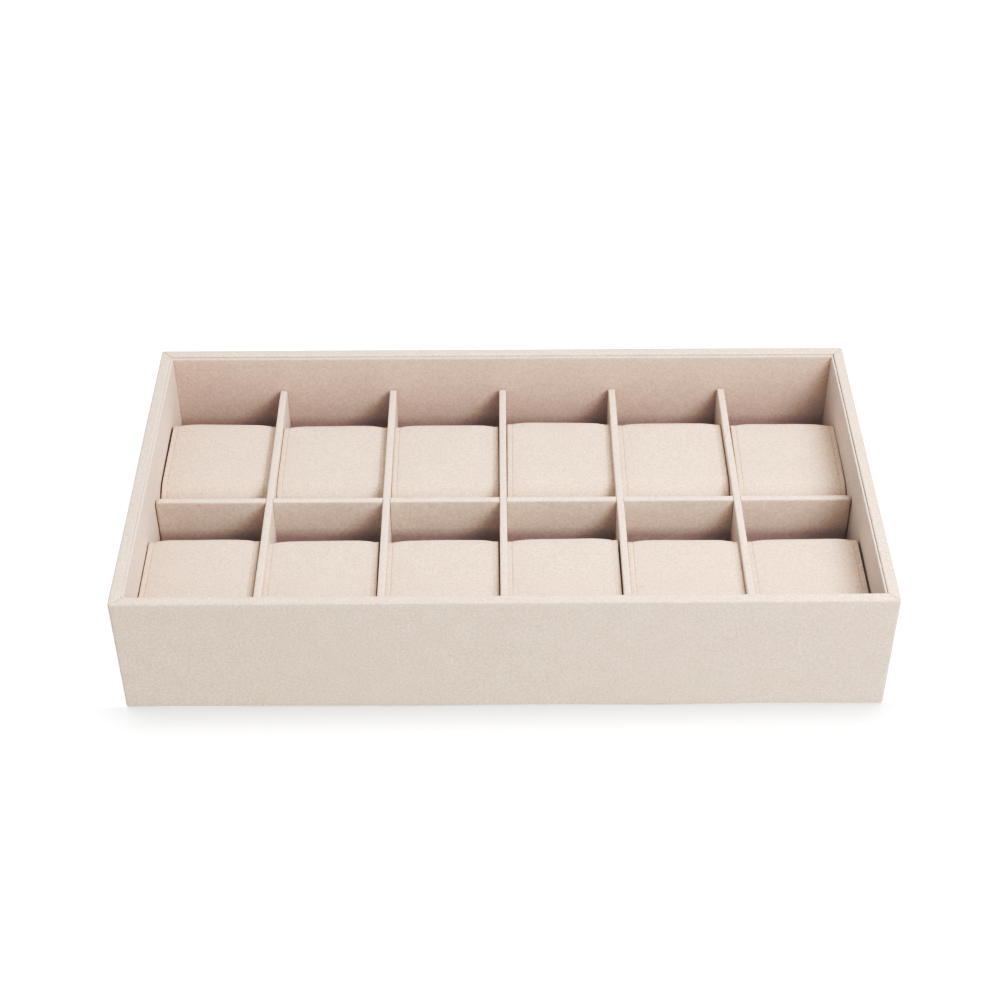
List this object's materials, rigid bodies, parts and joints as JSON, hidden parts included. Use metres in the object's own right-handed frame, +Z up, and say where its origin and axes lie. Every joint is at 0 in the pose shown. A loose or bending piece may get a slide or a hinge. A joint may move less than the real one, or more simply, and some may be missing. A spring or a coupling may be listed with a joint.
{
  "type": "watch tray insert",
  "caption": "Open suede-wrapped tray insert with a half-lapped divider grid and lift-out cushions that hold watches.",
  "frame": {"origin": "centre of the tray's footprint, on the surface that the tray stands on", "axes": "+X along the tray to the right, +Y from the front wall to the back wall, +Z up"},
  "size_m": [0.37, 0.199, 0.0693],
  "materials": {
    "outer_suede": "matt faux suede",
    "lining_suede": "matt faux suede",
    "divider_suede": "matt faux suede",
    "cushion_suede": "matt faux suede",
    "box_board": "raw fibre board",
    "under_cloth": "matt felted cloth"
  },
  "bodies": {
    "tray": {"front_wall_board": "box_board", "front_wall_wrap": "outer_suede", "front_lining": "lining_suede", "back_wall_board": "box_board", "back_wall_wrap": "outer_suede", "back_lining": "lining_suede", "left_wall_board": "box_board", "left_wall_wrap": "outer_suede", "left_lining": "lining_suede", "right_wall_board": "box_board", "right_wall_wrap": "outer_suede", "right_lining": "lining_suede", "base_board": "box_board", "base_cover": "under_cloth", "floor_lining": "lining_suede", "long_divider": "divider_suede", "cross_divider_1": "divider_suede", "cross_divider_2": "divider_suede", "cross_divider_3": "divider_suede", "cross_divider_4": "divider_suede", "cross_divider_5": "divider_suede"},
    "back_cushion_1": {"back_cushion_1": "cushion_suede", "back_cushion_1_left_cap": "cushion_suede", "back_cushion_1_right_cap": "cushion_suede"},
    "back_cushion_2": {"back_cushion_2": "cushion_suede", "back_cushion_2_left_cap": "cushion_suede", "back_cushion_2_right_cap": "cushion_suede"},
    "back_cushion_3": {"back_cushion_3": "cushion_suede", "back_cushion_3_left_cap": "cushion_suede", "back_cushion_3_right_cap": "cushion_suede"},
    "back_cushion_4": {"back_cushion_4": "cushion_suede", "back_cushion_4_left_cap": "cushion_suede", "back_cushion_4_right_cap": "cushion_suede"},
    "back_cushion_5": {"back_cushion_5": "cushion_suede", "back_cushion_5_left_cap": "cushion_suede", "back_cushion_5_right_cap": "cushion_suede"},
    "back_cushion_6": {"back_cushion_6": "cushion_suede", "back_cushion_6_left_cap": "cushion_suede", "back_cushion_6_right_cap": "cushion_suede"},
    "front_cushion_1": {"front_cushion_1": "cushion_suede", "front_cushion_1_left_cap": "cushion_suede", "front_cushion_1_right_cap": "cushion_suede"},
    "front_cushion_2": {"front_cushion_2": "cushion_suede", "front_cushion_2_left_cap": "cushion_suede", "front_cushion_2_right_cap": "cushion_suede"},
    "front_cushion_3": {"front_cushion_3": "cushion_suede", "front_cushion_3_left_cap": "cushion_suede", "front_cushion_3_right_cap": "cushion_suede"},
    "front_cushion_4": {"front_cushion_4": "cushion_suede", "front_cushion_4_left_cap": "cushion_suede", "front_cushion_4_right_cap": "cushion_suede"},
    "front_cushion_5": {"front_cushion_5": "cushion_suede", "front_cushion_5_left_cap": "cushion_suede", "front_cushion_5_right_cap": "cushion_suede"},
    "front_cushion_6": {"front_cushion_6": "cushion_suede", "front_cushion_6_left_cap": "cushion_suede", "front_cushion_6_right_cap": "cushion_suede"}
  },
  "joints": [
    {"name": "back_cushion_1_lift", "type": "slide", "parent": "tray", "child": "back_cushion_1", "axis": [0, 0, 1], "range_m": [0, 0.075]},
    {"name": "back_cushion_2_lift", "type": "slide", "parent": "tray", "child": "back_cushion_2", "axis": [0, 0, 1], "range_m": [0, 0.075]},
    {"name": "back_cushion_3_lift", "type": "slide", "parent": "tray", "child": "back_cushion_3", "axis": [0, 0, 1], "range_m": [0, 0.075]},
    {"name": "back_cushion_4_lift", "type": "slide", "parent": "tray", "child": "back_cushion_4", "axis": [0, 0, 1], "range_m": [0, 0.075]},
    {"name": "back_cushion_5_lift", "type": "slide", "parent": "tray", "child": "back_cushion_5", "axis": [0, 0, 1], "range_m": [0, 0.075]},
    {"name": "back_cushion_6_lift", "type": "slide", "parent": "tray", "child": "back_cushion_6", "axis": [0, 0, 1], "range_m": [0, 0.075]},
    {"name": "front_cushion_1_lift", "type": "slide", "parent": "tray", "child": "front_cushion_1", "axis": [0, 0, 1], "range_m": [0, 0.075]},
    {"name": "front_cushion_2_lift", "type": "slide", "parent": "tray", "child": "front_cushion_2", "axis": [0, 0, 1], "range_m": [0, 0.075]},
    {"name": "front_cushion_3_lift", "type": "slide", "parent": "tray", "child": "front_cushion_3", "axis": [0, 0, 1], "range_m": [0, 0.075]},
    {"name": "front_cushion_4_lift", "type": "slide", "parent": "tray", "child": "front_cushion_4", "axis": [0, 0, 1], "range_m": [0, 0.075]},
    {"name": "front_cushion_5_lift", "type": "slide", "parent": "tray", "child": "front_cushion_5", "axis": [0, 0, 1], "range_m": [0, 0.075]},
    {"name": "front_cushion_6_lift", "type": "slide", "parent": "tray", "child": "front_cushion_6", "axis": [0, 0, 1], "range_m": [0, 0.075]}
  ]
}
